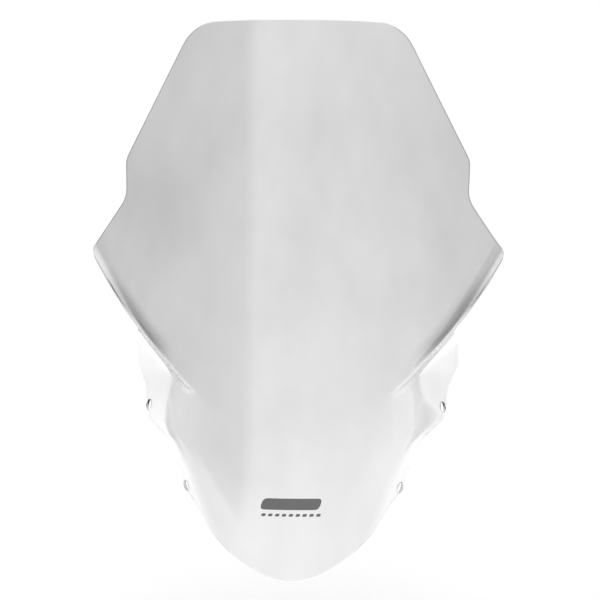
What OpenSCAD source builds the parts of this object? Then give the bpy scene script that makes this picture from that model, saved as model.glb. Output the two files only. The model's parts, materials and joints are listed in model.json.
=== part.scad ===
// Formed acrylic windscreen for a scooter or motorcycle fairing, in millimetres.
// One clear sheet is bent back along a flange on each side, where four screws hold it,
// and flares into two hand-guard wings above the flanges.
// +Z is up, the convex front faces -Y, and X = 0 is the centre plane.
// The origin is midway between the two lower screw holes, on the sheet's front face.

/* [Sheet] */
// Height from the nose tip to the middle of the top edge
screen_h = 591; // [490:1:720]
// Full width across the two wing tips
wing_span = 472; // [392:1:568]
// Thickness of the sheet
sheet_t = 3; // [2:0.1:4]
// Lean back from the vertical, in degrees
rake = 22; // [12:0.5:32]
// Radius of the side-to-side bow
bow_r = 300; // [290:5:500]
// How far the top edge is brought forward of a straight lean
top_kick = 34; // [0:1:60]
// How far the nose is tucked in below its curl
nose_curl = 26; // [10:1:34]

/* [Outline] */
// Distance from each lower hole in to the nose's corner
nose_inset = 29; // [26:1:38]
// Height of the nose's corners above its tip
nose_h = 47; // [40:1:52]
// Half width at the notch above the wing
notch_half_w = 192; // [180:1:205]
// Height of the notch above the nose tip
notch_z = 390; // [375:1:405]
// Half width at the shoulder above the notch
shoulder_half_w = 194; // [180:1:210]
// Height of the shoulder above the nose tip
shoulder_z = 430; // [420:1:450]
// Half width of the top edge, before its corners are rounded
top_half_w = 114; // [90:1:140]
// Radius of the two top corners
top_corner_r = 52; // [20:1:62]
// How far the top edge's ends lie below its middle
top_drop = 3; // [1:0.5:8]
// Height of the wing tips above the nose tip
wing_z = 324; // [312:1:337]
// Radius of the wing tips
wing_tip_r = 16; // [8:1:20]

/* [Screw holes] */
// Bore of the four screw holes, for a rubber grommet
hole_d = 12; // [6:0.5:15]
// Half the distance across the two lower holes
low_hole_x = 118; // [115:1:122]
// Height of the lower holes above the nose tip
low_hole_z = 88; // [85:1:91]
// Half the distance across the two upper holes
up_hole_x = 165; // [162:1:168]
// Height of the upper holes above the nose tip
up_hole_z = 162; // [159:1:165]

/* [Side flanges] */
// Distance from each nose corner in to the flange's fold line
nose_fold_gap = 15.6; // [13:0.2:18]
// Distance from each lower hole in to the flange's fold line
low_fold_gap = 27; // [24:1:30]
// Distance from each upper hole in to the flange's fold line
up_fold_gap = 42; // [39:1:45]
// Radius of the fold
fold_r = 24; // [14:1:30]
// Angle that the fold turns the flange through
fold_a = 46; // [36:1:56]
// Width of the gentle bend ahead of the fold
ease_w = 26; // [15:1:35]
// Angle of the gentle bend ahead of the fold
ease_a = 18; // [8:1:22]
// Height between each hole and the nearest turn of the fold line
fold_turn_gap = 16; // [15:1:20]

/* [Wings] */
// Radius of the crease under each wing
crease_r = 5; // [4.5:0.5:8]
// Angle of the step below the crease
crease_a = 76; // [65:1:78]
// Bulge of the crease line, measured from its chord
crease_sag = 6.5; // [4:0.5:10]
// Width of the panel's roll towards the crease
roll_w = 24; // [12:1:26]
// Radius of the panel's roll towards the crease
roll_r = 31; // [29:1:60]
// Share of the side-to-side slope that the flared wings give back
flare_k = 0.4; // [0:0.05:0.6]
// Half width at which the wings begin to flare
flare_x = 150; // [130:1:170]

/* [Nose badge] */
// Length of the badge
badge_w = 64; // [40:1:80]
// Height of the badge
badge_h = 12; // [6:0.5:14]
// Height of the badge's middle above the nose tip
badge_z = 84; // [75:1:95]
// Number of dashes in the row under the badge
dash_count = 9; // [3:1:12]
// Height of each dash
dash_h = 3; // [2:0.5:4]
// Clear space between one dash and the next
dash_space = 2.8; // [1.5:0.1:3]
// Clear space between the badge and the row of dashes
dash_gap = 4; // [2:0.5:6]
// Lean of the badge's ends, as a share of its height
badge_lean = 0.35; // [0:0.05:0.8]
// Thickness of the badge film
film_t = 0.3; // [0.2:0.05:0.6]

/* [Hidden] */

// Colours of the clear sheet and of the printed film
sheet_colour = [0.86, 0.88, 0.89, 0.6];
film_colour = [0.36, 0.36, 0.37];

// Longest stretch of outline between two rows of the surface
row_step = 17;
// Columns of the surface from the centre plane to each edge
half_columns = 13;
// Crowding of the columns towards the edges: 1 spaces them evenly
column_power = 0.8;
// Most that the outline turns between two points of a rounded corner, in degrees
corner_step = 25;
// Cells of a film's surface, across and up
badge_cells = [16, 4];
dash_cells = [4, 2];
// Shape of the rows: the nose's rounding, and the rows well above it
nose_power = 1.75;
row_power = 2.3;
// Distance used for the slope of the surface
slope_step = 0.5;
// Film's back face stands this far off the sheet's true front face
film_gap = 0.12;

// Heights that the flare of the wings lies between
flare_low_z = wing_z - 63;
flare_high_z = wing_z + 137;
// Radius that softens the flare's start
flare_soft_r = 30;
// Height over which the nose curls
curl_h = 150;

// Ends of the crease line, and its circle
crease_in = [up_hole_x - 48, up_hole_z + 39];
crease_out = [wing_span / 2 - 5, wing_z - 4];
crease_chord = norm(crease_out - crease_in);
crease_dir = (crease_out - crease_in) / crease_chord;
crease_away = [crease_dir[1], -crease_dir[0]];
crease_arc_r = (pow(crease_chord / 2, 2) + pow(crease_sag, 2)) / (2 * crease_sag);
crease_centre = (crease_in + crease_out) / 2 - crease_away * (crease_arc_r - crease_sag);
// The roll fades in over this length from the crease's inner end
roll_fade = 34;

// Half width of the nose's corners, and of the fold line beside the corners and the holes
nose_half_w = low_hole_x - nose_inset;
nose_fold_x = nose_half_w - nose_fold_gap;
low_fold_x = low_hole_x - low_fold_gap;
up_fold_x = up_hole_x - up_fold_gap;
// The fold line turns outwards above the lower holes, and straight up below the upper ones, over
// this height to either side. The sheet is flat round the holes.
fold_turn_soft = 8;
low_turn_z = low_hole_z + fold_turn_gap;
up_turn_z = up_hole_z - fold_turn_gap;
// Growth of the fold line's half width with height, below its lower turn and above it
nose_fold_slope = (low_fold_x - nose_fold_x) / (low_hole_z - nose_h);
side_fold_slope = (up_fold_x - low_fold_x - nose_fold_slope * fold_turn_gap) / (up_turn_z - low_turn_z);

// Right-hand edge from the nose's corner to the top, as [half width, height, corner radius].
// The lugs round the holes keep their shape when a hole moves.
edge_corners = [
    [nose_half_w, nose_h, 0],
    [low_hole_x - 9, low_hole_z - 14, 8],
    [low_hole_x + 4, low_hole_z - 4, 10],
    [low_hole_x + 7, low_hole_z + 13, 14],
    [up_hole_x - 21, up_hole_z - 23, 10],
    [up_hole_x + 1, up_hole_z - 14, 8],
    [up_hole_x + 5, up_hole_z + 1, 12],
    [up_hole_x + 7, up_hole_z + 17, 12],
    [up_hole_x + 19, up_hole_z + 36, 12],
    [up_hole_x + 19, up_hole_z + 60, 14],
    [up_hole_x + 11, up_hole_z + 87, 4],
    [wing_span / 2 - 30, wing_z - 48, 150],
    [wing_span / 2, wing_z, wing_tip_r],
    [notch_half_w, notch_z, 30],
    [shoulder_half_w, shoulder_z, 24],
    [top_half_w, screen_h - top_drop, top_corner_r],
    [0, screen_h - top_drop, 0]
];

// Rise over a bend of radius r that turns to the angle a and then runs straight
function bend(t, r, a) =
    let (turn = r * sin(a), u = min(max(t, 0), turn))
    r - sqrt(r * r - u * u) + max(t - turn, 0) * tan(a);

// Smooth step from 0 to 1 between a and b
function ease(a, b, t) =
    let (u = min(max((t - a) / (b - a), 0), 1))
    u * u * (3 - 2 * u);

// The lesser of two rises, rounded where they meet
function lesser(a, b) = (a <= 0 || b <= 0) ? 0 : a * b / pow(pow(a, 3) + pow(b, 3), 1 / 3);

// 0 below the turn and t above it, blended over a height s to either side
function soft_ramp(t, s) = t <= -s ? 0 : t >= s ? t : pow(t + s, 2) / (4 * s);

// Half width of the flanges' fold at a height
function fold_line(z) =
    low_fold_x + nose_fold_slope * (z - low_hole_z)
    + (side_fold_slope - nose_fold_slope) * soft_ramp(z - low_turn_z, fold_turn_soft)
    - side_fold_slope * soft_ramp(z - up_turn_z, fold_turn_soft);

function centre_line(z) =
    tan(rake) * z
    - top_kick * pow(max(z / screen_h, 0), 3)
    + nose_curl * (pow(max(1 - z / curl_h, 0), 2) - 1);

function bow(x) = bow_r - sqrt(bow_r * bow_r - x * x);

function flare(x, z) =
    let (mid = (flare_low_z + flare_high_z) / 2, out = max(x - flare_x, 0))
    flare_k * (norm([out, flare_soft_r]) - flare_soft_r)
    * ease(flare_low_z, mid, z) * (1 - ease(mid, flare_high_z, z));

function flange(x, z) =
    let (out = x - fold_line(z))
    bend(out + ease_w, ease_w / sin(ease_a), ease_a) + bend(out, fold_r, fold_a);

// Distance outside the crease line, negative on the panel above it
function past_crease(x, z) = norm([x, z] - crease_centre) - crease_arc_r;

function roll(x, z) =
    let (t = min(max(past_crease(x, z) + roll_w, 0), roll_w),
         along = ([x, z] - crease_in) * crease_dir)
    (roll_r - sqrt(roll_r * roll_r - t * t)) * ease(0, roll_fade, along);

// Depth of the sheet's front face behind the nose tip
function depth(x, z) =
    let (w = abs(x))
    centre_line(z) + bow(w) - flare(w, z) + roll(w, z)
    + lesser(bend(past_crease(w, z), crease_r, crease_a), flange(w, z));

// Outward normal of the front face
function outward(x, z) =
    let (h = slope_step,
         sx = (depth(x + h, z) - depth(x - h, z)) / (2 * h),
         sz = (depth(x, z + h) - depth(x, z - h)) / (2 * h),
         n = [sx, -1, sz])
    n / norm(n);

datum = [0, depth(low_hole_x, low_hole_z), low_hole_z];

// Point a distance off the front face, in the part's frame
function on_face(x, z, off = 0) = [x, depth(x, z), z] + outward(x, z) * off - datum;

// Arc of radius r that rounds the corner b between a and c
function round_corner(a, b, c, r) =
    let (u = (a - b) / norm(a - b),
         v = (c - b) / norm(c - b),
         half = acos(u * v) / 2,
         mid = b + (u + v) / norm(u + v) * r / sin(half),
         p = b + u * r / tan(half) - mid,
         turn = (u[0] * v[1] - u[1] * v[0] > 0 ? -1 : 1) * (180 - 2 * half),
         steps = max(ceil(abs(turn) / corner_step), 2))
    [for (i = [0 : steps])
        let (k = turn * i / steps)
        mid + [p[0] * cos(k) - p[1] * sin(k), p[0] * sin(k) + p[1] * cos(k)]];

function flat_point(p) = [p[0], p[1]];

// How far a row's ends stand above its middle, as [height of the ends, rise]. The rows lie flat
// at the lugs, so that they don't cross, and slant along the crease.
row_rise = [
    [nose_h, nose_h],
    [low_hole_z, 34],
    [up_hole_z - 14, 16],
    [up_hole_z + 45, 50],
    [wing_z - 48, 54],
    [screen_h - top_drop, -top_drop]
];

rounded_edge = [
    flat_point(edge_corners[0]),
    for (i = [1 : len(edge_corners) - 2])
        each round_corner(flat_point(edge_corners[i - 1]), flat_point(edge_corners[i]),
                          flat_point(edge_corners[i + 1]), edge_corners[i][2])
];

// Ends of the rows: the rounded edge with its long stretches divided
row_ends = [
    for (i = [0 : len(rounded_edge) - 2])
        let (a = rounded_edge[i], b = rounded_edge[i + 1], parts = ceil(norm(b - a) / row_step))
        for (k = [0 : parts - 1]) a + (b - a) * k / parts,
    rounded_edge[len(rounded_edge) - 1]
];

function row_point(end, t) =
    let (mid = end[1] - lookup(end[1], row_rise),
         p = nose_power + (row_power - nose_power) * min(mid / curl_h, 1))
    [end[0] * t, mid + (end[1] - mid) * pow(abs(t), p)];

columns = [for (i = [-half_columns : half_columns])
    sign(i) * pow(abs(i) / half_columns, column_power)];

// Closed plate between two grids of points, each rows x cols, the front grid first
module plate(points, rows, cols) {
    layer = rows * cols;
    function at(r, c, back) = back * layer + r * cols + c;
    front = [for (r = [0 : rows - 2], c = [0 : cols - 2])
        each [[at(r, c, 0), at(r + 1, c, 0), at(r + 1, c + 1, 0)],
              [at(r, c, 0), at(r + 1, c + 1, 0), at(r, c + 1, 0)]]];
    back = [for (r = [0 : rows - 2], c = [0 : cols - 2])
        each [[at(r, c, 1), at(r + 1, c + 1, 1), at(r + 1, c, 1)],
              [at(r, c, 1), at(r, c + 1, 1), at(r + 1, c + 1, 1)]]];
    rim = concat(
        [for (c = [0 : cols - 1]) at(0, c, 0)],
        [for (r = [1 : rows - 1]) at(r, cols - 1, 0)],
        [for (c = [cols - 2 : -1 : 0]) at(rows - 1, c, 0)],
        [for (r = [rows - 2 : -1 : 1]) at(r, 0, 0)]);
    sides = [for (i = [0 : len(rim) - 1])
        let (a = rim[i], b = rim[(i + 1) % len(rim)])
        each [[a, b, b + layer], [a, b + layer, a + layer]]];
    polyhedron(points = points, faces = concat(front, back, sides));
}

module sheet() {
    grid = [for (end = row_ends, t = columns) row_point(end, t)];
    plate(concat([for (p = grid) on_face(p[0], p[1])],
                 [for (p = grid) on_face(p[0], p[1], -sheet_t)]),
          len(row_ends), len(columns));
}

// Bore along the sheet's own normal
module screw_hole(x, z) {
    n = outward(x, z);
    translate(on_face(x, z, -sheet_t / 2))
        rotate([0, acos(n[2]), atan2(n[1], n[0])])
            cylinder(d = hole_d, h = 6 * sheet_t, center = true, $fn = 64);
}

module screen() {
    color(sheet_colour)
        difference() {
            sheet();
            for (side = [-1, 1]) {
                screw_hole(side * low_hole_x, low_hole_z);
                screw_hole(side * up_hole_x, up_hole_z);
            }
        }
}

// Film lozenge that lies on the sheet: leaning ends, corners of radius r
module film(mid_x, mid_z, w, h, r, cells) {
    function half_h(x) =
        let (over = max(abs(x) - (w / 2 - r), 0))
        h / 2 - r + sqrt(max(r * r - over * over, 0));
    xs = [for (i = [0 : cells[0]]) w / 2 * sin(90 * (2 * i / cells[0] - 1))];
    grid = [for (j = [0 : cells[1]], x = xs)
        let (z = half_h(x) * (2 * j / cells[1] - 1))
        [mid_x + x + badge_lean * z, mid_z + z]];
    plate(concat([for (p = grid) on_face(p[0], p[1], film_gap + film_t)],
                 [for (p = grid) on_face(p[0], p[1], film_gap)]),
          cells[1] + 1, cells[0] + 1);
}

module badge() {
    color(film_colour)
        film(0, badge_z, badge_w, badge_h, badge_h / 3, badge_cells);
}

module badge_dashes() {
    dash_w = (badge_w + dash_space) / dash_count - dash_space;
    row_z = badge_z - badge_h / 2 - dash_gap - dash_h / 2;
    color(film_colour)
        for (i = [0 : dash_count - 1])
            film((i - (dash_count - 1) / 2) * (dash_w + dash_space), row_z,
                 dash_w, dash_h, min(dash_h, dash_w) / 4, dash_cells);
}

screen();
badge();
badge_dashes();
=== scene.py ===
"""Studio scene for a formed acrylic windscreen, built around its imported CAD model."""

import json
import math

import bmesh
import bpy
import numpy as np
from mathutils import Matrix, Vector


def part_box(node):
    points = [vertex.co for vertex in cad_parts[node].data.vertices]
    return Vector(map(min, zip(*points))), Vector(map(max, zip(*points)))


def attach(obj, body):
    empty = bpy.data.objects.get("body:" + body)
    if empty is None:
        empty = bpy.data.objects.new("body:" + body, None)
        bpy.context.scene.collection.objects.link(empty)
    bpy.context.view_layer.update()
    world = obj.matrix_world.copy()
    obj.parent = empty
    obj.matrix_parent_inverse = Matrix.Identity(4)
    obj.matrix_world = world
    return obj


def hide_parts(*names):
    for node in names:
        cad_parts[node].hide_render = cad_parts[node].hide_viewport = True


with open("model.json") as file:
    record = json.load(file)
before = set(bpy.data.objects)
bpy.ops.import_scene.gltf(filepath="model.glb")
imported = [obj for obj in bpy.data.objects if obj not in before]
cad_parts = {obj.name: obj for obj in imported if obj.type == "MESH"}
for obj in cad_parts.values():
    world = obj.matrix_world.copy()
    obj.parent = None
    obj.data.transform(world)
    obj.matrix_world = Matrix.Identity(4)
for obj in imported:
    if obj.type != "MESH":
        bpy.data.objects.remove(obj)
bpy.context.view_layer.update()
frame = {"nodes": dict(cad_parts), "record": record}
record = frame["record"]

MM = 0.001

# The sheet's design in millimetres: x from the centre plane, z up from the nose tip
SCREEN_H = 591.0
WING_SPAN = 472.0
SHEET_T = 3.0

# The panel's lean and its bow from side to side, the top edge's lean forward, and the nose's curl
RAKE = math.radians(22)
BOW_R = 300.0
TOP_KICK = 34.0
NOSE_CURL = 26.0
CURL_H = 150.0

# Corners of the outline
NOTCH = (192.0, 390.0)
SHOULDER = (194.0, 430.0)
TOP_CORNER = (114.0, 588.0)
TOP_CORNER_R = 52.0
WING_TIP = (WING_SPAN / 2, 324.0)
WING_TIP_R = 16.0

# The holes' places on the front face, and how far their cutters reach past the sheet's faces
LOW_HOLE = (118.0, 88.0)
UP_HOLE = (165.0, 162.0)
HOLE_CHAMFER = 0.4
CUTTER_PAST = 3 * HOLE_CHAMFER
# The outline's corner where the nose's curve ends
NOSE_CORNER = (LOW_HOLE[0] - 29.0, 47.0)

# The flanges' fold line passes these (x, z) points, and turns at two heights between the holes
FOLD_LINE = [
    (NOSE_CORNER[0] - 15.6, NOSE_CORNER[1]),
    (LOW_HOLE[0] - 27.0, LOW_HOLE[1]),
    (UP_HOLE[0] - 42.0, UP_HOLE[1]),
]
FOLD_TURN_GAP = 16.0
FOLD_TURN_SOFT = 8.0
# The fold's radius and angle, and the width and angle of the gentler bend before it
FOLD_R = 24.0
FOLD_A = math.radians(46)
EASE_W = 26.0
EASE_A = math.radians(18)

# The crease is an arc between its inner and outer ends, with a step below it and a roll above it
CREASE_IN = np.array((UP_HOLE[0] - 48.0, UP_HOLE[1] + 39.0))
CREASE_OUT = np.array((WING_TIP[0] - 5.0, WING_TIP[1] - 4.0))
CREASE_SAG = 6.5
CREASE_R = 5.0
CREASE_A = math.radians(76)
CREASE_CHORD = np.linalg.norm(CREASE_OUT - CREASE_IN)
CREASE_DIR = (CREASE_OUT - CREASE_IN) / CREASE_CHORD
CREASE_ARC_R = ((CREASE_CHORD / 2) ** 2 + CREASE_SAG**2) / (2 * CREASE_SAG)
CREASE_AWAY = np.array((CREASE_DIR[1], -CREASE_DIR[0]))
CREASE_CENTRE = (CREASE_IN + CREASE_OUT) / 2 - CREASE_AWAY * (CREASE_ARC_R - CREASE_SAG)
ROLL_W = 24.0
ROLL_R = 31.0
ROLL_FADE = 34.0

# The wings flare forward by this slope beyond a half width, and most at the middle of two heights
FLARE_K = 0.4
FLARE_X = 150.0
FLARE_SOFT_R = 30.0
FLARE_LOW_Z = WING_TIP[1] - 63.0
FLARE_HIGH_Z = WING_TIP[1] + 137.0

# Shape of the surface's rows, and how far a row's ends stand above its middle, by their height
NOSE_POWER = 1.75
ROW_POWER = 2.3
ROW_RISE = [
    (NOSE_CORNER[1], NOSE_CORNER[1]),
    (LOW_HOLE[1], 34.0),
    (UP_HOLE[1] - 14.0, 16.0),
    (UP_HOLE[1] + 45.0, 40.0),
    (WING_TIP[1] - 48.0, 44.0),
    (TOP_CORNER[1], TOP_CORNER[1] - SCREEN_H),
]
# By this power the columns crowd towards the edges, and over this step the slopes are measured
COLUMN_POWER = 0.8
SLOPE_STEP = 0.5

# Fineness of the visual mesh
ROW_STEP = 5.0
TOP_ROW_GAP = 1.0
HALF_COLUMNS = 38
CORNER_STEP = math.radians(7)
BORE_STEPS = 96
SMOOTH_ANGLE = math.radians(35)
# How far the rounded edge bulges, and the strips that it is made of
EDGE_BULGE = 1.1
EDGE_STEPS = 7
# Faces are divided further in this band along the crease, beyond a half width and below a height
FINE_BAND = (-6.0, 12.0)
FINE_FROM_X = CREASE_IN[0] - 12.0
FINE_TO_Z = WING_TIP[1] + 20.0
FINE_ROUNDS = 2

ACRYLIC_IOR = 1.49
EDGE_ROUGHNESS = 0.05
BORE_ROUGHNESS = 0.3
# Share of the light that the panel lets through, by height over the nose tip: a smoke tint with painted
# shade, darker towards the top
SMOKE_WITH_PAINTED_SHADE = [(40.0, 0.80), (110.0, 0.705), (400.0, 0.615)]
# Painted shade: how much darker the panel's sides are, and the half widths between which they darken
SIDE_SHADE = 0.095
SIDE_SHADE_X = (95.0, 165.0)
# Cloudiness: the most that it adds or takes away, its scale along each axis, and its noise
CLOUD_DEPTH = 0.05
CLOUD_SCALE = (13.0, 13.0, 7.0)
CLOUD_DETAIL = 3.0
CLOUD_NOISE = (0.25, 0.75)
# Painted light on the flanges: their lighter tint, and where it takes over from the panel's: across the
# fold line, and upwards
FLANGE_PAINTED_LIGHT = 0.78
FLANGE_LIGHT_ACROSS = (-44.0, 12.0)
FLANGE_LIGHT_UPWARDS = (30.0, 90.0)
# The painted shade strip above the crease: its depth and width, and where it starts and ends along the
# crease
CREASE_SHADE = 0.54
CREASE_SHADE_W = 21.0
CREASE_SHADE_STARTS = (0.14, 0.38)
CREASE_SHADE_ENDS = (0.62, 0.95)
# The step below the crease is hazy, and lighter where its tint is a painted highlight. Both fade in and
# out across the crease, and start and end along it
CREASE_HAZE = 0.6
STEP_PAINTED_HIGHLIGHT = 0.95
HAZE_FADES_IN = (-2.0, 1.0)
HAZE_FADES_OUT = (1.4 * CREASE_R, 2 * CREASE_R)
HAZE_STARTS = (-0.1, 0.0)
HAZE_ENDS = (0.4, 0.95)
# The edge lets most light through, and painted shade darkens it upwards and outwards along the upper
# panel's sides
RIM_SMOKE = 0.95
RIM_PAINTED_SHADE_SIDES = 0.3
RIM_SIDES_Z = (250.0, 340.0)
RIM_SIDES_X = (85.0, 120.0)
# Painted shade in the bores: the drilled walls' darker tint
BORE_PAINTED_SHADE = 0.4

# The print's greys and roughness across its grain, and the grain's scale, noise and height in metres
PRINT_GREYS = (0.085, 0.13)
PRINT_ROUGHNESS = (0.38, 0.55)
GRAIN_SCALE = 1400.0
GRAIN_DETAIL = 2.0
GRAIN_NOISE = (0.3, 0.7)
GRAIN_HEIGHT = 0.00002

# The floor, in metres, and the air between it and the screen held above it
FLOOR_SIZE = 60.0
FLOOR_GREY = 0.97
FLOOR_ROUGHNESS = 0.9
FLOOR_GAP = 0.12

# Brightness of the white surround
WHITE = 1.05
# The studio that polished surfaces mirror. Azimuth 0 is in front of the screen and 90 is towards +X.
# Brightness above the table's edge by azimuth, then below it
STUDIO_HIGH = [
    (-180, 1.2), (-130, 1.1), (-110, 0.75), (-80, 0.5), (-60, 0.1), (-45, 0.15), (-26, 0.45),
    (-20, 1.8), (2, 1.85), (10, 1.6), (45, 1.5), (62, 1.4), (80, 0.9), (110, 0.8), (130, 1.1),
    (180, 1.2),
]
STUDIO_LOW = [
    (-180, 1.8), (-125, 1.5), (-80, 1.0), (-55, 1.3), (-30, 1.6), (30, 1.6), (55, 1.3), (80, 1.0),
    (125, 1.5), (180, 1.8),
]
# The table's edge stands higher in front of the screen than behind it, and is soft
TABLE_SLOPE = math.tan(math.radians(6))
TABLE_SOFTNESS = 0.07
# Dark cards on either side of the screen, as x and then (first, last) depths and heights in metres
CARDS = {
    "card_left": (-0.5, (-0.24, 0.30), (-0.02, 0.34)),
    "card_low_left": (-0.5, (0.04, 0.30), (-0.12, 0.08)),
    "card_right": (0.5, (0.07, 0.30), (-0.02, 0.34)),
    "card_low_right": (0.5, (0.04, 0.30), (-0.12, 0.08)),
}
# Share of a card's width or height over which its edge fades
CARD_EDGE = 0.2
CARD_GREY = 0.02
CARD_ROUGHNESS = 1.0

# The softbox overhead, in metres and watts
LAMP_PLACE = (0.0, -0.8, 3.0)
LAMP_SIZE = 3.0
LAMP_POWER = 10.0

# The camera's azimuth towards +X, its elevation and distance, and its aim: a height on the centre plane,
# moved right and up in the view
CAMERA_AZIMUTH = math.radians(2.2)
CAMERA_ELEVATION = math.radians(12)
CAMERA_DISTANCE = 3.03
CAMERA_LENS = 167.6
AIM_Z = 0.2
AIM_RIGHT, AIM_UP = 0.0076, 0.0098


def ease(a, b, t):
    """Smooth step from 0 to 1 between a and b."""
    u = np.clip((t - a) / (b - a), 0, 1)
    return u * u * (3 - 2 * u)


def bend(t, r, a):
    """Rise over a bend of radius r that turns to the angle a and then runs straight."""
    turn = r * math.sin(a)
    u = np.clip(t, 0, turn)
    return r - np.sqrt(r * r - u * u) + np.maximum(t - turn, 0) * math.tan(a)


def lesser(a, b):
    """The lesser of two rises, rounded where they meet."""
    cubes = np.cbrt(np.maximum(a, 0) ** 3 + np.maximum(b, 0) ** 3)
    return np.where((a > 0) & (b > 0), a * b / np.maximum(cubes, 1e-9), 0)


def soft_ramp(t):
    """0 below the fold line's turn and t above it, blended between."""
    s = FOLD_TURN_SOFT
    return np.where(t > s, t, np.clip(t + s, 0, 2 * s) ** 2 / (4 * s))


def fold_line(z):
    """Half width of the flanges' fold at a height."""
    nose, low, up = FOLD_LINE
    low_turn, up_turn = low[1] + FOLD_TURN_GAP, up[1] - FOLD_TURN_GAP
    nose_slope = (low[0] - nose[0]) / (low[1] - nose[1])
    side_slope = (up[0] - low[0] - nose_slope * FOLD_TURN_GAP) / (up_turn - low_turn)
    turned = (side_slope - nose_slope) * soft_ramp(z - low_turn) - side_slope * soft_ramp(z - up_turn)
    return low[0] + nose_slope * (z - low[1]) + turned


def past_crease(x, z):
    """Distance outside the crease line, negative on the panel above it."""
    return np.hypot(x - CREASE_CENTRE[0], z - CREASE_CENTRE[1]) - CREASE_ARC_R


def crease_run(x, z):
    """Distance along the crease from its inner end."""
    return (x - CREASE_IN[0]) * CREASE_DIR[0] + (z - CREASE_IN[1]) * CREASE_DIR[1]


def centre_line(z):
    """Depth of the panel's middle behind the nose tip."""
    curl = NOSE_CURL * (np.maximum(1 - z / CURL_H, 0) ** 2 - 1)
    return math.tan(RAKE) * z - TOP_KICK * np.maximum(z / SCREEN_H, 0) ** 3 + curl


def flare(x, z):
    """How far the wings stand forward."""
    middle = (FLARE_LOW_Z + FLARE_HIGH_Z) / 2
    out = np.hypot(np.maximum(x - FLARE_X, 0), FLARE_SOFT_R) - FLARE_SOFT_R
    return FLARE_K * out * ease(FLARE_LOW_Z, middle, z) * (1 - ease(middle, FLARE_HIGH_Z, z))


def flange(x, z):
    """How far the flanges turn back."""
    out = x - fold_line(z)
    return bend(out + EASE_W, EASE_W / math.sin(EASE_A), EASE_A) + bend(out, FOLD_R, FOLD_A)


def roll(x, z):
    """The panel's roll back towards the crease, which fades out at the crease's inner end."""
    t = np.clip(past_crease(x, z) + ROLL_W, 0, ROLL_W)
    return (ROLL_R - np.sqrt(ROLL_R**2 - t * t)) * ease(0, ROLL_FADE, crease_run(x, z))


def depth(x, z):
    """Depth of the sheet's front face behind the nose tip."""
    w = np.abs(x)
    bow = BOW_R - np.sqrt(BOW_R**2 - w * w)
    step = lesser(bend(past_crease(w, z), CREASE_R, CREASE_A), flange(w, z))
    return centre_line(z) + bow - flare(w, z) + roll(w, z) + step


def outward(x, z):
    """Outward normals of the front face, one row for each point."""
    h = SLOPE_STEP
    slope_x = (depth(x + h, z) - depth(x - h, z)) / (2 * h)
    slope_z = (depth(x, z + h) - depth(x, z - h)) / (2 * h)
    n = np.stack((slope_x, -np.ones_like(slope_x), slope_z), axis=-1)
    return n / np.linalg.norm(n, axis=-1, keepdims=True)


DATUM = np.array((0.0, float(depth(np.array(LOW_HOLE[0]), np.array(LOW_HOLE[1]))), LOW_HOLE[1]))


def on_face(x, z, off):
    """Points a distance off the front face, in metres in the part's frame."""
    face = np.stack((x, depth(x, z), z), axis=-1)
    return (face + outward(x, z) * off - DATUM) * MM


def round_corner(a, b, c, r):
    """Points along the arc of radius r that rounds the corner b between a and c."""
    a, b, c = (np.array(p, float) for p in (a, b, c))
    u, v = (a - b) / np.linalg.norm(a - b), (c - b) / np.linalg.norm(c - b)
    half = math.acos(float(u @ v)) / 2
    middle = b + (u + v) / np.linalg.norm(u + v) * r / math.sin(half)
    start = b + u * r / math.tan(half) - middle
    turn = math.copysign(math.pi - 2 * half, -(u[0] * v[1] - u[1] * v[0]))
    steps = max(math.ceil(abs(turn) / CORNER_STEP), 2)
    angles = turn * np.arange(steps + 1) / steps
    cos, sin = np.cos(angles), np.sin(angles)
    arc = np.stack((start[0] * cos - start[1] * sin, start[0] * sin + start[1] * cos), axis=-1)
    return list(middle + arc)


def edge_line():
    """The right-hand edge from the nose's corner to the top, drawn in by the edge's bulge."""
    (lx, lz), (ux, uz) = LOW_HOLE, UP_HOLE
    # Each corner's x, z and radius
    corners = [
        (*NOSE_CORNER, 0),
        (lx - 9, lz - 14, 8),
        (lx + 4, lz - 4, 10),
        (lx + 7, lz + 13, 14),
        (ux - 21, uz - 23, 10),
        (ux + 1, uz - 14, 8),
        (ux + 5, uz + 1, 12),
        (ux + 7, uz + 17, 12),
        (ux + 19, uz + 36, 12),
        (ux + 19, uz + 60, 14),
        (ux + 11, uz + 87, 7),
        (WING_TIP[0] - 30, WING_TIP[1] - 48, 150),
        (*WING_TIP, WING_TIP_R),
        (*NOTCH, 30),
        (*SHOULDER, 24),
        (*TOP_CORNER, TOP_CORNER_R),
        (0, TOP_CORNER[1], 0),
    ]
    rounded = [np.array(corners[0][:2])]
    for before, here, after in zip(corners, corners[1:], corners[2:]):
        rounded += round_corner(before[:2], here[:2], after[:2], here[2])
    line = []
    for a, b in zip(rounded, rounded[1:]):
        parts = max(math.ceil(np.linalg.norm(b - a) / ROW_STEP), 1)
        line += [a + (b - a) * k / parts for k in range(parts)]
    line = np.array([p for p in line if p[1] < TOP_CORNER[1] - TOP_ROW_GAP] + [rounded[-1]])
    along = np.gradient(line, axis=0)
    inward = np.stack((-along[:, 1], along[:, 0]), axis=-1)
    return line + inward / np.linalg.norm(inward, axis=1, keepdims=True) * EDGE_BULGE


def plan_grid():
    """Plan of the sheet as rows of (x, z) points, each from the left edge to the right one."""
    ends = edge_line()
    middle = (ends[:, 1] - np.interp(ends[:, 1], *zip(*ROW_RISE)))[:, None]
    # The first row passes the nose tip and the last one the top edge's middle
    middle[0] = EDGE_BULGE
    middle[-1] = SCREEN_H - EDGE_BULGE
    power = NOSE_POWER + (ROW_POWER - NOSE_POWER) * np.minimum(middle / CURL_H, 1)
    k = np.arange(-HALF_COLUMNS, HALF_COLUMNS + 1) / HALF_COLUMNS
    across = (np.sign(k) * np.abs(k) ** COLUMN_POWER)[None, :]
    x = ends[:, :1] * across
    z = middle + (ends[:, 1:] - middle) * np.abs(across) ** power
    return x, z


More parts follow.
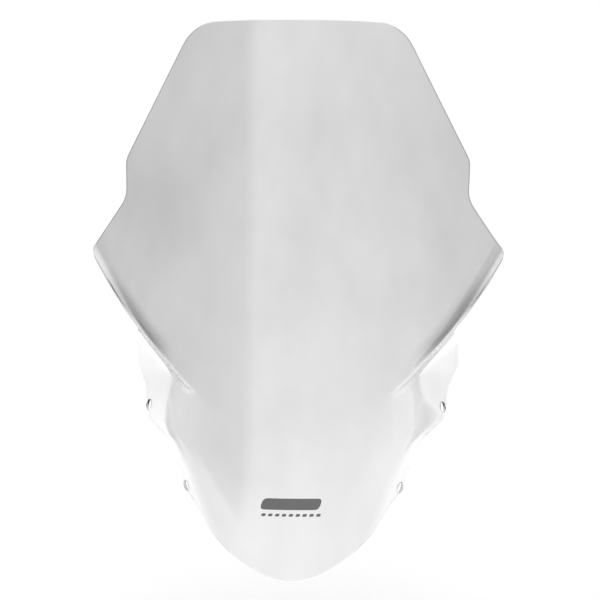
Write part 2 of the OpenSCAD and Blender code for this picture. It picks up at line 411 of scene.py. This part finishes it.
def needs_fine_faces(x, z):
    """True near the crease, where the sheet turns within a few millimetres."""
    w = abs(x)
    return FINE_BAND[0] < past_crease(w, z) < FINE_BAND[1] and w > FINE_FROM_X and z < FINE_TO_Z


def plan_mesh():
    """The plan as a mesh in the xz plane, with its faces divided further near the crease."""
    x, z = plan_grid()
    rows, columns = x.shape
    bm = bmesh.new()
    verts = [bm.verts.new((x[i, j], 0, z[i, j])) for i in range(rows) for j in range(columns)]
    for i in range(rows - 1):
        for j in range(columns - 1):
            k = i * columns + j
            bm.faces.new((verts[k], verts[k + 1], verts[k + columns + 1], verts[k + columns]))
    for _ in range(FINE_ROUNDS):
        fine = set()
        for face in bm.faces:
            middle = face.calc_center_median()
            if needs_fine_faces(middle.x, middle.z):
                fine.update(face.edges)
        bmesh.ops.subdivide_edges(bm, edges=list(fine), cuts=1, use_grid_fill=True)
    bm.verts.index_update()
    points = np.array([v.co for v in bm.verts])
    faces = [[v.index for v in f.verts] for f in bm.faces]
    rim = boundary_loop(bm)
    bm.free()
    return points[:, 0], points[:, 2], faces, rim


def boundary_loop(bm):
    """Indices of the boundary's vertices, in order."""
    start = next(e for e in bm.edges if e.is_boundary)
    loop, edge, vert = [], start, start.verts[0]
    while True:
        loop.append(vert.index)
        vert = edge.other_vert(vert)
        edge = next(e for e in vert.link_edges if e.is_boundary and e is not edge)
        if edge is start:
            return loop


def sheet_mesh():
    """Closed mesh of the sheet: two smooth faces, and an edge with a rounded, polished profile."""
    x, z, faces, rim = plan_mesh()
    normal = outward(x, z)
    middle = on_face(x, z, -SHEET_T / 2)
    front = middle + normal * SHEET_T / 2 * MM
    back = middle - normal * SHEET_T / 2 * MM
    ring = np.array(rim)
    along = np.roll(front[ring], -1, axis=0) - np.roll(front[ring], 1, axis=0)
    out = np.cross(along, normal[ring])
    out /= np.linalg.norm(out, axis=1, keepdims=True)
    # Outwards is up at the highest point
    if out[np.argmax(front[ring, 2]), 2] < 0:
        out = -out
    count = len(x)
    verts = [front, back]
    rings = [ring]
    for k in range(1, EDGE_STEPS):
        angle = math.pi * k / EDGE_STEPS
        side = middle[ring] + normal[ring] * math.cos(angle) * SHEET_T / 2 * MM
        verts.append(side + out * math.sin(angle) * EDGE_BULGE * MM)
        rings.append(2 * count + (k - 1) * len(rim) + np.arange(len(rim)))
    rings.append(ring + count)
    polygons = faces + [[i + count for i in reversed(f)] for f in faces]
    rim_from = len(polygons)
    for first, second in zip(rings, rings[1:]):
        for i in range(len(rim)):
            j = (i + 1) % len(rim)
            polygons.append([int(first[i]), int(second[i]), int(second[j]), int(first[j])])
    mesh = bpy.data.meshes.new("screen_sheet")
    mesh.from_pydata(np.concatenate(verts).tolist(), [], polygons)
    slots = np.zeros(len(polygons), dtype=np.int32)
    slots[rim_from:] = 1
    mesh.polygons.foreach_set("material_index", slots)
    mesh.validate()
    bm = bmesh.new()
    bm.from_mesh(mesh)
    bmesh.ops.recalc_face_normals(bm, faces=bm.faces)
    bm.to_mesh(mesh)
    bm.free()
    return mesh


def add_object(name, data, *materials):
    """A new object in the scene, with the materials in its mesh's slots."""
    made = bpy.data.objects.new(name, data)
    bpy.context.scene.collection.objects.link(made)
    for material in materials:
        data.materials.append(material)
    return made


def lathe(name, profile, steps):
    """Closed mesh turned round Z from (radius, height) points that start and end on the axis."""
    bm = bmesh.new()
    rings = []
    for r, h in profile:
        if r == 0:
            rings.append([bm.verts.new((0, 0, h))] * steps)
        else:
            turns = [2 * math.pi * k / steps for k in range(steps)]
            rings.append([bm.verts.new((r * math.cos(a), r * math.sin(a), h)) for a in turns])
    for low, high in zip(rings, rings[1:]):
        for k in range(steps):
            j = (k + 1) % steps
            corners = dict.fromkeys((low[k], low[j], high[j], high[k]))
            bm.faces.new(tuple(corners))
    bmesh.ops.recalc_face_normals(bm, faces=bm.faces)
    mesh = bpy.data.meshes.new(name)
    bm.to_mesh(mesh)
    bm.free()
    return mesh


def hole_cutters(material):
    """A cutter for each bore that the record states, with a small chamfer at both faces."""
    t, c, past = SHEET_T / 2 * MM, HOLE_CHAMFER * MM, CUTTER_PAST * MM
    cutters = []
    for mount in record["mounts"]:
        if mount["kind"] != "bore":
            continue
        r = mount["dims"]["r_mm"] * MM
        upper = [(r, t - c), (r + c + past, t + past), (0, t + 2 * past)]
        lower = [(radius, -height) for radius, height in reversed(upper)]
        name = "cut_" + mount["name"]
        cutter = add_object(name, lathe(name, lower + upper, BORE_STEPS), material)
        turn = Vector(mount["axis"]).to_track_quat("Z", "Y").to_matrix().to_4x4()
        cutter.data.transform(Matrix.Translation(Vector(mount["pos_m"])) @ turn)
        cutters.append(cutter)
    return cutters


def cut(piece, cutters):
    """Takes the cutters out of a piece, and leaves plain mesh."""
    for cutter in cutters:
        modifier = piece.modifiers.new("bore", "BOOLEAN")
        modifier.operation = "DIFFERENCE"
        modifier.solver = "EXACT"
        modifier.object = cutter
        modifier.material_mode = "TRANSFER"
    shown = piece.evaluated_get(bpy.context.evaluated_depsgraph_get())
    whole = bpy.data.meshes.new_from_object(shown)
    piece.modifiers.clear()
    piece.data = whole
    for cutter in cutters:
        bpy.data.objects.remove(cutter)


def smooth_by_angle(mesh, angle):
    """Smooth shading, except across the edges that turn by the angle or more."""
    bm = bmesh.new()
    bm.from_mesh(mesh)
    for face in bm.faces:
        face.smooth = True
    for edge in bm.edges:
        edge.smooth = len(edge.link_faces) == 2 and edge.calc_face_angle() < angle
    bm.to_mesh(mesh)
    bm.free()


def along_crease(w, z):
    """Place along the crease, 0 at its inner end and 1 at its outer end."""
    return crease_run(w, z) / CREASE_CHORD


def on_step(w, z):
    """1 on the hazy step below the crease, where a highlight is painted, and 0 away from it."""
    beyond = past_crease(w, z)
    along = along_crease(w, z)
    across = ease(*HAZE_FADES_IN, beyond) * (1 - ease(*HAZE_FADES_OUT, beyond))
    return across * ease(*HAZE_STARTS, along) * (1 - ease(*HAZE_ENDS, along))


def crease_haze(x, z):
    """Roughness of the step below the crease."""
    return CREASE_HAZE * on_step(np.abs(x), z)


def crease_shade(w, z):
    """1 along the painted shade strip above the crease, and 0 away from it."""
    beyond = past_crease(w, z)
    along = along_crease(w, z)
    length = ease(*CREASE_SHADE_STARTS, along) * (1 - ease(*CREASE_SHADE_ENDS, along))
    fade = ease(0, CREASE_R, beyond) * (1 - ease(*CREASE_SHADE_ENDS, along))
    return length * ease(-CREASE_SHADE_W, 0, beyond) * (1 - fade)


def face_tint_and_painted_light(x, z):
    """Share of the light that the sheet lets through at a point of its plan: a smoke tint with painted
    shade towards the top, on the sides and above the crease, and painted light on the flanges and on the
    step below the crease.
    """
    w = np.abs(x)
    panel = np.interp(z, *zip(*SMOKE_WITH_PAINTED_SHADE)) * (1 - SIDE_SHADE * ease(*SIDE_SHADE_X, w))
    # Painted light: the flanges lighter than the panel
    clear = ease(*FLANGE_LIGHT_ACROSS, w - fold_line(z)) * ease(-CREASE_R, CREASE_R, past_crease(w, z))
    clear = clear * ease(*FLANGE_LIGHT_UPWARDS, z)
    shaded_tint = (panel + (FLANGE_PAINTED_LIGHT - panel) * clear) * (1 - CREASE_SHADE * crease_shade(w, z))
    return shaded_tint + (STEP_PAINTED_HIGHLIGHT - shaded_tint) * on_step(w, z)


def rim_tint_and_painted_shade(x, z):
    """Share of the light that the sheet's edge lets through, with painted shade along the upper panel's
    sides.
    """
    sides = ease(*RIM_SIDES_Z, z) * ease(*RIM_SIDES_X, np.abs(x))
    return RIM_SMOKE + (RIM_PAINTED_SHADE_SIDES - RIM_SMOKE) * sides


def store_values(mesh, name, function):
    """Keeps a function of the plan on the mesh's points, for a material to read."""
    points = np.zeros(3 * len(mesh.vertices), dtype=np.float32)
    mesh.vertices.foreach_get("co", points)
    plan = points.reshape(-1, 3).astype(float) / MM + DATUM
    values = function(plan[:, 0], plan[:, 2]).astype(np.float32)
    mesh.attributes.new(name, "FLOAT", "POINT").data.foreach_set("value", values)


def new_material(name):
    """A new material, its node tree and its shader."""
    material = bpy.data.materials.new(name)
    material.use_nodes = True
    nodes = material.node_tree.nodes
    return material, material.node_tree, nodes["Principled BSDF"]


def grey(value):
    """An opaque grey."""
    return (value, value, value, 1.0)


def feed(tree, socket, value):
    """Sets a socket to a number, or links another node's output to it."""
    if isinstance(value, (int, float)):
        socket.default_value = value
    else:
        tree.links.new(value, socket)


def math_node(tree, operation, *values):
    """A Math node whose inputs are numbers or other nodes' outputs."""
    node = tree.nodes.new("ShaderNodeMath")
    node.operation = operation
    for socket, value in zip(node.inputs, values):
        feed(tree, socket, value)
    return node.outputs[0]


def blend_values(tree, share, a, b):
    """a where share is 0, b where it is 1. Each is a number or another node's output."""
    node = tree.nodes.new("ShaderNodeMix")
    for name, value in (("Factor", share), ("A", a), ("B", b)):
        feed(tree, node.inputs[name], value)
    return node.outputs["Result"]


def scale_range(tree, value, source, target=(0.0, 1.0), interpolation="LINEAR"):
    """The value carried from the source range to the target range, and held at its ends."""
    node = tree.nodes.new("ShaderNodeMapRange")
    node.interpolation_type = interpolation
    for name, number in zip(("From Min", "From Max", "To Min", "To Max"), source + target):
        node.inputs[name].default_value = number
    tree.links.new(value, node.inputs["Value"])
    return node.outputs["Result"]


def grey_colour(tree, shade):
    """The grey whose three channels are all the shade."""
    node = tree.nodes.new("ShaderNodeCombineColor")
    for channel in ("Red", "Green", "Blue"):
        tree.links.new(shade, node.inputs[channel])
    return node.outputs["Color"]


def named_value(tree, name):
    """What the mesh's points keep under the name."""
    node = tree.nodes.new("ShaderNodeAttribute")
    node.attribute_name = name
    return node.outputs["Fac"]


def noise(tree, scale, detail):
    """Noise over the object's own coordinates, with a scale for each axis."""
    coords = tree.nodes.new("ShaderNodeTexCoord")
    stretch = tree.nodes.new("ShaderNodeMapping")
    stretch.inputs["Scale"].default_value = scale
    tree.links.new(coords.outputs["Object"], stretch.inputs["Vector"])
    node = tree.nodes.new("ShaderNodeTexNoise")
    node.inputs["Scale"].default_value = 1.0
    node.inputs["Detail"].default_value = detail
    tree.links.new(stretch.outputs["Vector"], node.inputs["Vector"])
    return node.outputs["Fac"]


def acrylic(name, tint_and_painted_light_name, roughness):
    """Clear acrylic, faintly cloudy. Its smoke tint, with painted shade and painted light worked into
    it, is the mesh's named value, and its roughness is a number or another named value."""
    material, tree, shader = new_material(name)
    shader.inputs["Transmission Weight"].default_value = 1.0
    shader.inputs["IOR"].default_value = ACRYLIC_IOR
    if isinstance(roughness, str):
        roughness = named_value(tree, roughness)
    feed(tree, shader.inputs["Roughness"], roughness)
    cloud = noise(tree, CLOUD_SCALE, CLOUD_DETAIL)
    uneven = scale_range(tree, cloud, CLOUD_NOISE, (-CLOUD_DEPTH, CLOUD_DEPTH))
    shade = math_node(tree, "ADD", named_value(tree, tint_and_painted_light_name), uneven)
    tree.links.new(grey_colour(tree, shade), shader.inputs["Base Color"])
    return material


def printed_film():
    """Satin dark grey ink with a fine grain."""
    material, tree, shader = new_material("printed_film")
    grain = noise(tree, (GRAIN_SCALE, GRAIN_SCALE, GRAIN_SCALE), GRAIN_DETAIL)
    shade = scale_range(tree, grain, GRAIN_NOISE, PRINT_GREYS)
    tree.links.new(grey_colour(tree, shade), shader.inputs["Base Color"])
    roughness = scale_range(tree, grain, GRAIN_NOISE, PRINT_ROUGHNESS)
    tree.links.new(roughness, shader.inputs["Roughness"])
    bump = tree.nodes.new("ShaderNodeBump")
    bump.inputs["Distance"].default_value = GRAIN_HEIGHT
    tree.links.new(grain, bump.inputs["Height"])
    tree.links.new(bump.outputs["Normal"], shader.inputs["Normal"])
    return material


def make_screen():
    """The sheet with its bores, which stands for the CAD screen."""
    face = acrylic("clear_acrylic", "face_tint_and_painted_light", "crease_haze")
    rim = acrylic("polished_edge", "rim_tint_and_painted_shade", EDGE_ROUGHNESS)
    bore = acrylic("drilled_wall", "bore_painted_shade", BORE_ROUGHNESS)
    screen = add_object("acrylic_screen", sheet_mesh(), face, rim)
    cut(screen, hole_cutters(bore))
    store_values(screen.data, "crease_haze", crease_haze)
    store_values(screen.data, "face_tint_and_painted_light", face_tint_and_painted_light)
    store_values(screen.data, "rim_tint_and_painted_shade", rim_tint_and_painted_shade)
    store_values(screen.data, "bore_painted_shade", lambda x, z: np.full_like(x, BORE_PAINTED_SHADE))
    smooth_by_angle(screen.data, SMOOTH_ANGLE)
    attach(screen, "root")
    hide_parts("screen")


def make_print():
    """The ink on the CAD badge and dashes, whose shapes are right."""
    film = printed_film()
    for name in ("badge", "badge_dashes"):
        node = frame["nodes"][name]
        for slot in node.material_slots:
            slot.material = film


def make_floor():
    """A pale floor, which doesn't show in or through the sheet."""
    low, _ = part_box("screen")
    bm = bmesh.new()
    bmesh.ops.create_grid(bm, x_segments=1, y_segments=1, size=FLOOR_SIZE / 2)
    mesh = bpy.data.meshes.new("floor")
    bm.to_mesh(mesh)
    bm.free()
    material, _, shader = new_material("floor_white")
    shader.inputs["Base Color"].default_value = grey(FLOOR_GREY)
    shader.inputs["Roughness"].default_value = FLOOR_ROUGHNESS
    floor = add_object("floor", mesh, material)
    floor.location = (0, 0, low[2] - FLOOR_GAP)
    floor.visible_glossy = False
    floor.visible_transmission = False


def radiance_round(tree, turn, stops):
    """Brightness by azimuth, from (degrees, brightness) stops between -180 and 180."""
    ramp = tree.nodes.new("ShaderNodeValToRGB")
    peak = max(value for _, value in stops)
    elements = ramp.color_ramp.elements
    while len(elements) < len(stops):
        elements.new(0.5)
    for element, (degrees, value) in zip(elements, stops):
        element.position = (degrees + 180) / 360
        element.color = grey(value / peak)
    tree.links.new(turn, ramp.inputs["Fac"])
    return math_node(tree, "MULTIPLY", ramp.outputs["Color"], peak)


def soft_card():
    """Black that fades out towards the edges of the card."""
    material, tree, shader = new_material("black_card")
    shader.inputs["Base Color"].default_value = grey(CARD_GREY)
    shader.inputs["Roughness"].default_value = CARD_ROUGHNESS
    coords = tree.nodes.new("ShaderNodeTexCoord")
    split = tree.nodes.new("ShaderNodeSeparateXYZ")
    tree.links.new(coords.outputs["Generated"], split.inputs[0])
    cover = 1.0
    for axis in ("Y", "Z"):
        to_edge = math_node(tree, "PINGPONG", split.outputs[axis], 0.5)
        fade = scale_range(tree, to_edge, (0.0, CARD_EDGE), interpolation="SMOOTHSTEP")
        cover = math_node(tree, "MULTIPLY", cover, fade)
    clear = tree.nodes.new("ShaderNodeBsdfTransparent")
    mix = tree.nodes.new("ShaderNodeMixShader")
    tree.links.new(cover, mix.inputs[0])
    tree.links.new(clear.outputs[0], mix.inputs[1])
    tree.links.new(shader.outputs[0], mix.inputs[2])
    tree.links.new(mix.outputs[0], tree.nodes["Material Output"].inputs["Surface"])
    return material


def make_cards():
    """The cards, which the camera only sees in and through the sheet."""
    material = soft_card()
    for name, (x, (y0, y1), (z0, z1)) in CARDS.items():
        mesh = bpy.data.meshes.new(name)
        corners = [(x, y0, z0), (x, y1, z0), (x, y1, z1), (x, y0, z1)]
        mesh.from_pydata(corners, [], [(0, 1, 2, 3)])
        card = add_object(name, mesh, material)
        card.visible_camera = False
        card.visible_diffuse = False
        card.visible_shadow = False


def make_world():
    """A white surround, in which polished surfaces mirror softboxes and a bright table."""
    world = bpy.data.worlds.new("studio")
    world.use_nodes = True
    tree = world.node_tree
    background = tree.nodes["Background"]
    coords = tree.nodes.new("ShaderNodeTexCoord")
    split = tree.nodes.new("ShaderNodeSeparateXYZ")
    tree.links.new(coords.outputs["Generated"], split.inputs[0])
    x, y, z = split.outputs
    azimuth = math_node(tree, "ARCTAN2", x, math_node(tree, "MULTIPLY", y, -1))
    turn = math_node(tree, "MULTIPLY_ADD", azimuth, 0.5 / math.pi, 0.5)
    above_table = math_node(tree, "MULTIPLY_ADD", y, TABLE_SLOPE, z)
    soft_line = (-TABLE_SOFTNESS, TABLE_SOFTNESS)
    above = scale_range(tree, above_table, soft_line, interpolation="SMOOTHSTEP")
    low = radiance_round(tree, turn, STUDIO_LOW)
    high = radiance_round(tree, turn, STUDIO_HIGH)
    studio = blend_values(tree, above, low, high)
    # Mirrored rays see the studio, and all others see plain white
    path = tree.nodes.new("ShaderNodeLightPath")
    seen = blend_values(tree, path.outputs["Glossy Depth"], WHITE, studio)
    tree.links.new(seen, background.inputs["Color"])
    bpy.context.scene.world = world


def make_lamp():
    """A softbox overhead, which points at the part and doesn't show in it."""
    lamp = bpy.data.lights.new("overhead_softbox", "AREA")
    lamp.shape = "RECTANGLE"
    lamp.size = LAMP_SIZE
    lamp.size_y = LAMP_SIZE
    lamp.energy = LAMP_POWER
    made = add_object("overhead_softbox", lamp)
    made.location = LAMP_PLACE
    made.rotation_mode = "QUATERNION"
    made.rotation_quaternion = (-Vector(LAMP_PLACE)).to_track_quat("-Z", "Y")
    made.visible_glossy = False


def make_camera():
    """The camera, at the photograph's angle."""
    data = bpy.data.cameras.new("camera")
    data.lens = CAMERA_LENS
    camera = add_object("camera", data)
    a, e = CAMERA_AZIMUTH, CAMERA_ELEVATION
    back = Vector((math.sin(a) * math.cos(e), -math.cos(a) * math.cos(e), math.sin(e)))
    turn = (-back).to_track_quat("-Z", "Y")
    aim = Vector((0, 0, AIM_Z)) + turn @ Vector((AIM_RIGHT, AIM_UP, 0))
    camera.location = aim + back * CAMERA_DISTANCE
    camera.rotation_mode = "QUATERNION"
    camera.rotation_quaternion = turn
    bpy.context.scene.camera = camera


bpy.context.scene.view_settings.view_transform = "Standard"
make_camera()
make_screen()
make_print()
make_floor()
make_cards()
make_world()
make_lamp()
